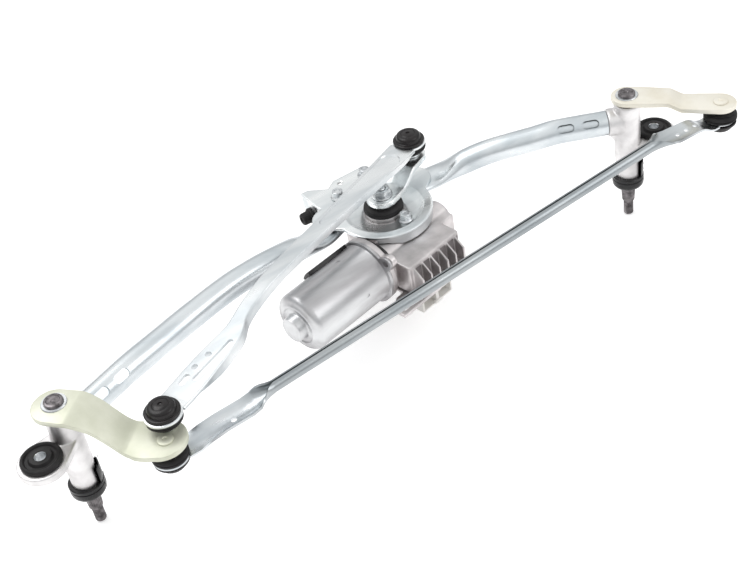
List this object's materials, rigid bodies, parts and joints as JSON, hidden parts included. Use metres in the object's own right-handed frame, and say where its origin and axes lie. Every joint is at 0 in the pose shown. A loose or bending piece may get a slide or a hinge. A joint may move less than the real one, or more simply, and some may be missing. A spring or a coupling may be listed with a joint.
{
  "type": "windscreen wiper linkage",
  "caption": "Windscreen wiper linkage: motor with crank, drive rod, coupling rod and two levers on pivot shafts, carried by a tube frame.",
  "frame": {"origin": "middle of the bounding box at the level of the two threaded shaft tips", "axes": "+X from the left pivot shaft to the right one, +Z along the pivot shafts from their threaded tips to the levers, +Y from the coupling rod towards the motor"},
  "size_m": [0.6014, 0.1972, 0.12],
  "materials": {
    "zinc_steel": "bright zinc plated, satin",
    "yellow_steel": "pale yellow passivated zinc",
    "cream_steel": "pale passivated zinc",
    "cast_alloy": "raw die-cast, satin",
    "dark_steel": "phosphated, dark grey",
    "bright_steel": "bright",
    "can_steel": "galvanised, drawn",
    "black_nylon": "moulded, semi-gloss",
    "black_rubber": "matt",
    "bronze": "sintered, oil filled",
    "ferrite": "sintered, matt",
    "copper": "machined",
    "core_steel": "laminated, wound",
    "white_acetal": "moulded, natural"
  },
  "bodies": {
    "frame": {"bracket_screw_1": "bright_steel", "bracket_screw_2": "bright_steel", "bracket_screw_3": "bright_steel", "brush_card": "black_nylon", "can_bearing": "bronze", "connector": "white_acetal", "gear_cover": "cast_alloy", "gear_housing": "cast_alloy", "lead_strip": "black_nylon", "left_end_collar": "black_nylon", "left_frame_tube": "zinc_steel", "left_grommet": "black_rubber", "left_grommet_sleeve": "bright_steel", "left_lower_bush": "bronze", "left_pivot_housing": "cast_alloy", "left_upper_bush": "bronze", "lower_magnet": "ferrite", "motor_bracket": "zinc_steel", "motor_can": "can_steel", "mount_plug": "black_rubber", "output_bush": "bronze", "output_seal": "black_rubber", "right_end_collar": "black_nylon", "right_frame_tube": "zinc_steel", "right_grommet": "black_rubber", "right_grommet_sleeve": "bright_steel", "right_lower_bush": "bronze", "right_pivot_housing": "cast_alloy", "right_upper_bush": "bronze", "upper_magnet": "ferrite"},
    "left_lever": {"left_shaft": "dark_steel", "left_thrust_washer": "bright_steel", "left_retaining_clip": "bright_steel", "left_lever_arm": "yellow_steel", "left_drive_stud": "bright_steel", "left_link_stud": "bright_steel"},
    "right_lever": {"right_shaft": "dark_steel", "right_thrust_washer": "bright_steel", "right_retaining_clip": "bright_steel", "right_lever_arm": "cream_steel", "right_link_stud": "bright_steel"},
    "drive_rod": {"drive_rod": "zinc_steel", "drive_rod_lever_cup": "black_nylon", "drive_rod_lever_boot": "black_rubber", "drive_rod_crank_cup": "black_nylon", "drive_rod_crank_boot": "black_rubber", "crank_ball_stud": "bright_steel"},
    "coupling_rod": {"coupling_rod": "zinc_steel", "coupling_rod_left_cup": "black_nylon", "coupling_rod_left_boot": "black_rubber", "coupling_rod_right_cup": "black_nylon", "coupling_rod_right_boot": "black_rubber"},
    "motor_crank": {"output_shaft": "dark_steel", "crank_arm": "zinc_steel", "crank_nut": "dark_steel", "crank_pin_shank": "bright_steel", "worm_wheel": "white_acetal"},
    "armature": {"armature_shaft": "bright_steel", "armature_core": "core_steel", "commutator": "copper"}
  },
  "joints": [
    {"name": "crank_turn", "type": "hinge", "parent": "frame", "child": "motor_crank", "pos_m": [0.04389, 0.03513, 0.09], "axis": [0, 0, 1], "range_deg": [0, 180]},
    {"name": "left_lever_swing", "type": "hinge", "parent": "frame", "child": "left_lever", "pos_m": [-0.26011, -0.03087, 0.09], "axis": [0, 0, 1], "range_deg": [-86.68, 0.5]},
    {"name": "right_lever_swing", "type": "hinge", "parent": "frame", "child": "right_lever", "pos_m": [0.23989, -0.03087, 0.09], "axis": [0, 0, 1], "range_deg": [-86.68, 0.5]},
    {"name": "drive_rod_turn", "type": "hinge", "parent": "left_lever", "child": "drive_rod", "pos_m": [-0.20483, -0.07299, 0.1015], "axis": [0, 0, 1], "range_deg": [-0.5, 82.57]},
    {"name": "coupling_rod_turn", "type": "hinge", "parent": "left_lever", "child": "coupling_rod", "pos_m": [-0.21193, -0.08438, 0.0745], "axis": [0, 0, 1], "range_deg": [-0.5, 86.68]},
    {"name": "armature_spin", "type": "hinge", "parent": "frame", "child": "armature", "pos_m": [0.04909, 0.01067, 0.056], "axis": [0.9781, 0.2079, 0], "continuous": true}
  ],
  "couplings": [
    {"joint": "left_lever_swing", "follows": "crank_turn", "ratio": -0.47877},
    {"joint": "right_lever_swing", "follows": "crank_turn", "ratio": -0.47877},
    {"joint": "drive_rod_turn", "follows": "crank_turn", "ratio": 0.45592},
    {"joint": "coupling_rod_turn", "follows": "crank_turn", "ratio": 0.47877},
    {"joint": "armature_spin", "follows": "crank_turn", "ratio": 36}
  ]
}
